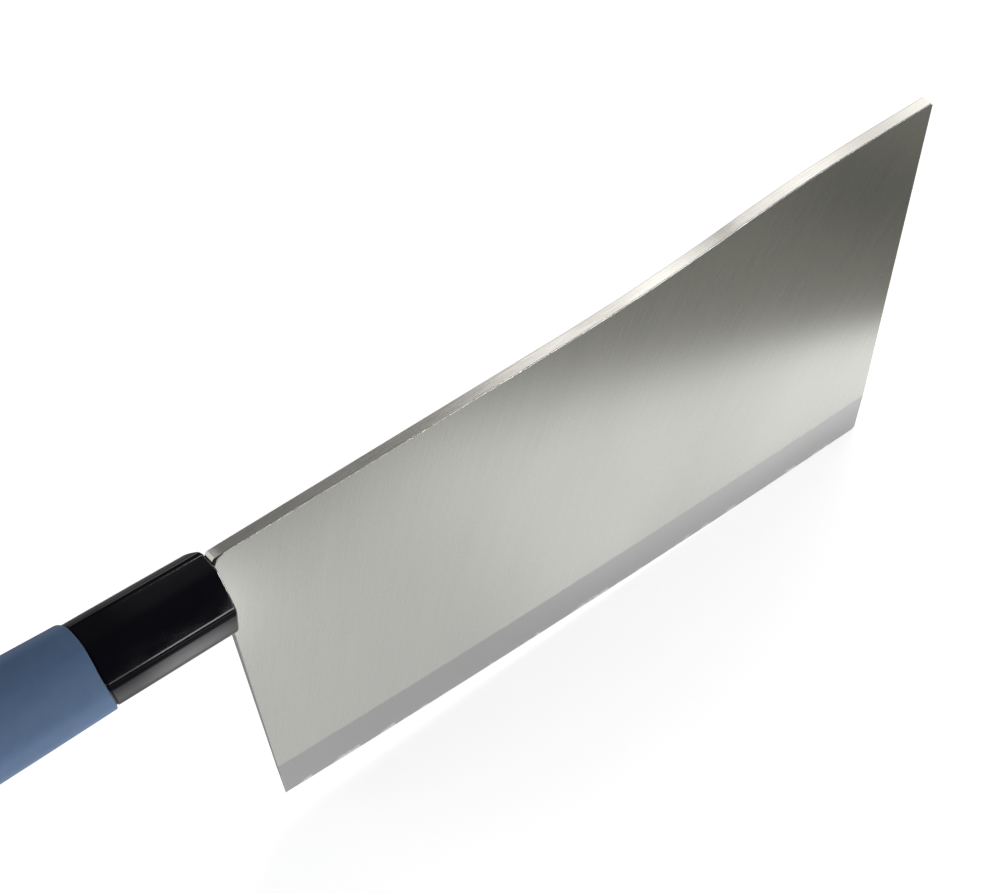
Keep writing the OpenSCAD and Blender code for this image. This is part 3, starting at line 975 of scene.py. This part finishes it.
def front_shade(tree, x, y):
    """Paler towards the tip, with a dark patch whose near edge runs away to the right."""
    white, cream = (1.0, 1.0, 1.0), (1.0, 1.0, 0.88)
    pale = span(tree, x, 60.0, 115.0, 0.93, 1.22, True) + span(tree, x, 120.0, 185.0, 0.0, 0.28)
    folds = noise(tree, vector(tree, x * 0.02 + y * 0.03, y * 0.01, 0.0), 1.0, 1.0)
    bright_patch = fall(tree, x, 18.0, 38.0) * rise(tree, y, -48.0, -60.0) \
        * span(tree, x, -60.0, -20.0, 0.3, 1.0, True)
    pale = pale * span(tree, folds, 0.4, 0.6, 0.96, 1.04) + bright_patch * 3.0
    far_dimming = span(tree, y, -60.0, -84.0, 1.0, 0.1, True)
    pale = pale * far_dimming.math("MAXIMUM", rise(tree, x, 60.0, 90.0))
    width = span(tree, x, 110.0, 200.0, 22.0, 8.0)
    past = (y + 61.0 - (x - 112.0) * 0.43) / width
    dark = fall(tree, past, -0.5, 0.5)
    deep = blot(tree, x, y, (235.0, -60.0), (34.0, 24.0)) * -0.19 + 0.265
    bright = pale + (pale * -1.0 + deep) * dark
    return blend(tree, dark, white, cream), bright, span(tree, y, -3.0, -8.0, 0.0, 1.0)


def back_shade(tree, x, y):
    """Dark behind the handle and the heel."""
    cover = fall(tree, x, 90.0, 150.0) * rise(tree, y, 70.0, 95.0)
    return (1.0, 1.0, 1.0, 1.0), 0.1, cover


def soft_box(name, place, aim, width, height, power, hidden_from=None):
    """A lamp's panel, which may be left out of reflections or of diffuse light."""
    light = bpy.data.lights.new(name, "AREA")
    light.shape = "RECTANGLE"
    light.size = width
    light.size_y = height
    light.energy = power
    lamp = add_object(name, light)
    lamp.location = place
    lamp.rotation_mode = "QUATERNION"
    lamp.rotation_quaternion = (Vector(aim) - Vector(place)).to_track_quat("-Z", "Y")
    lamp.visible_glossy = hidden_from != "glossy"
    lamp.visible_diffuse = hidden_from != "diffuse"


def surroundings():
    """Pale near the floor, darker above, darkest on the camera's side."""
    world = bpy.data.worlds.new("surroundings")
    bpy.context.scene.world = world
    world.use_nodes = True
    tree = world.node_tree
    right, back, up = split(add_node(tree, "ShaderNodeTexCoord", output="Generated"))
    level = span(tree, back, -0.9, 0.1, 0.1, 0.36, True) \
        * span(tree, up, 0.4, 0.68, 0.2, 1.0, True) + span(tree, right, -0.2, -0.8, 0.0, 0.9, True)
    plain = tree.nodes["Background"]
    level.to(plain.inputs["Strength"])
    plain.inputs["Color"].default_value = (1, 1, 1, 1)
    white = add_node(tree, "ShaderNodeBackground", Strength=1.0)
    path = add_node(tree, "ShaderNodeLightPath")
    mix = tree.nodes.new("ShaderNodeMixShader")
    path.to(mix.inputs[0])
    tree.links.new(plain.outputs[0], mix.inputs[1])
    white.to(mix.inputs[2])
    tree.links.new(mix.outputs[0], tree.nodes["World Output"].inputs["Surface"])


def photo_camera():
    """The camera solved from the blade's spine, edge, tip and heel and the bolster's edges."""
    data = bpy.data.cameras.new("camera")
    camera = add_object("camera", data)
    data.sensor_fit = "HORIZONTAL"
    data.sensor_width = SENSOR_WIDTH
    data.lens = SENSOR_WIDTH * FOCAL_LENGTH / IMAGE_WIDTH
    data.clip_start = 0.01
    data.clip_end = 100
    right, down, forward = map(Vector, (CAMERA_RIGHT, CAMERA_DOWN, CAMERA_FORWARD))
    turn = Matrix((right, -down, -forward)).transposed()
    place = junction + Vector(CAMERA_FROM_JUNCTION) * MM
    camera.matrix_world = Matrix.Translation(place) @ turn.to_4x4()
    bpy.context.scene.camera = camera


photo_camera()
dress_knife()
pale_floor()
reflection_card("front_card", (-150, 500), (-400, -2), front_shade)
reflection_card("back_card", (-220, 150), (70, 600), back_shade)
surroundings()
# Lamps: place, what they aim at, width, height, power, and the light they are left out of
soft_box("fill_light", (0.35, -1.4, 0.2), (0, 0, 0.08), 1.0, 0.4, 5.5, "glossy")
soft_box("line_light", (0.5, -1.344, 0.5), (0, 0, 0.09), 0.5, 0.18, 5, "diffuse")
soft_box("rim_light", (0.54, 0.975, 1.09), (0, 0, 0.09), 0.09, 0.09, 0.33, "diffuse")
soft_box("edge_light", (1.35, -0.42, 0.12), (0, 0, 0.09), 0.25, 0.2, 4.0, "diffuse")
soft_box("tip_light", (1.045, 0.555, 1.05), (0.05, 0, 0.05), 0.8, 0.8, 4.2)
bpy.context.scene.view_settings.view_transform = "Standard"
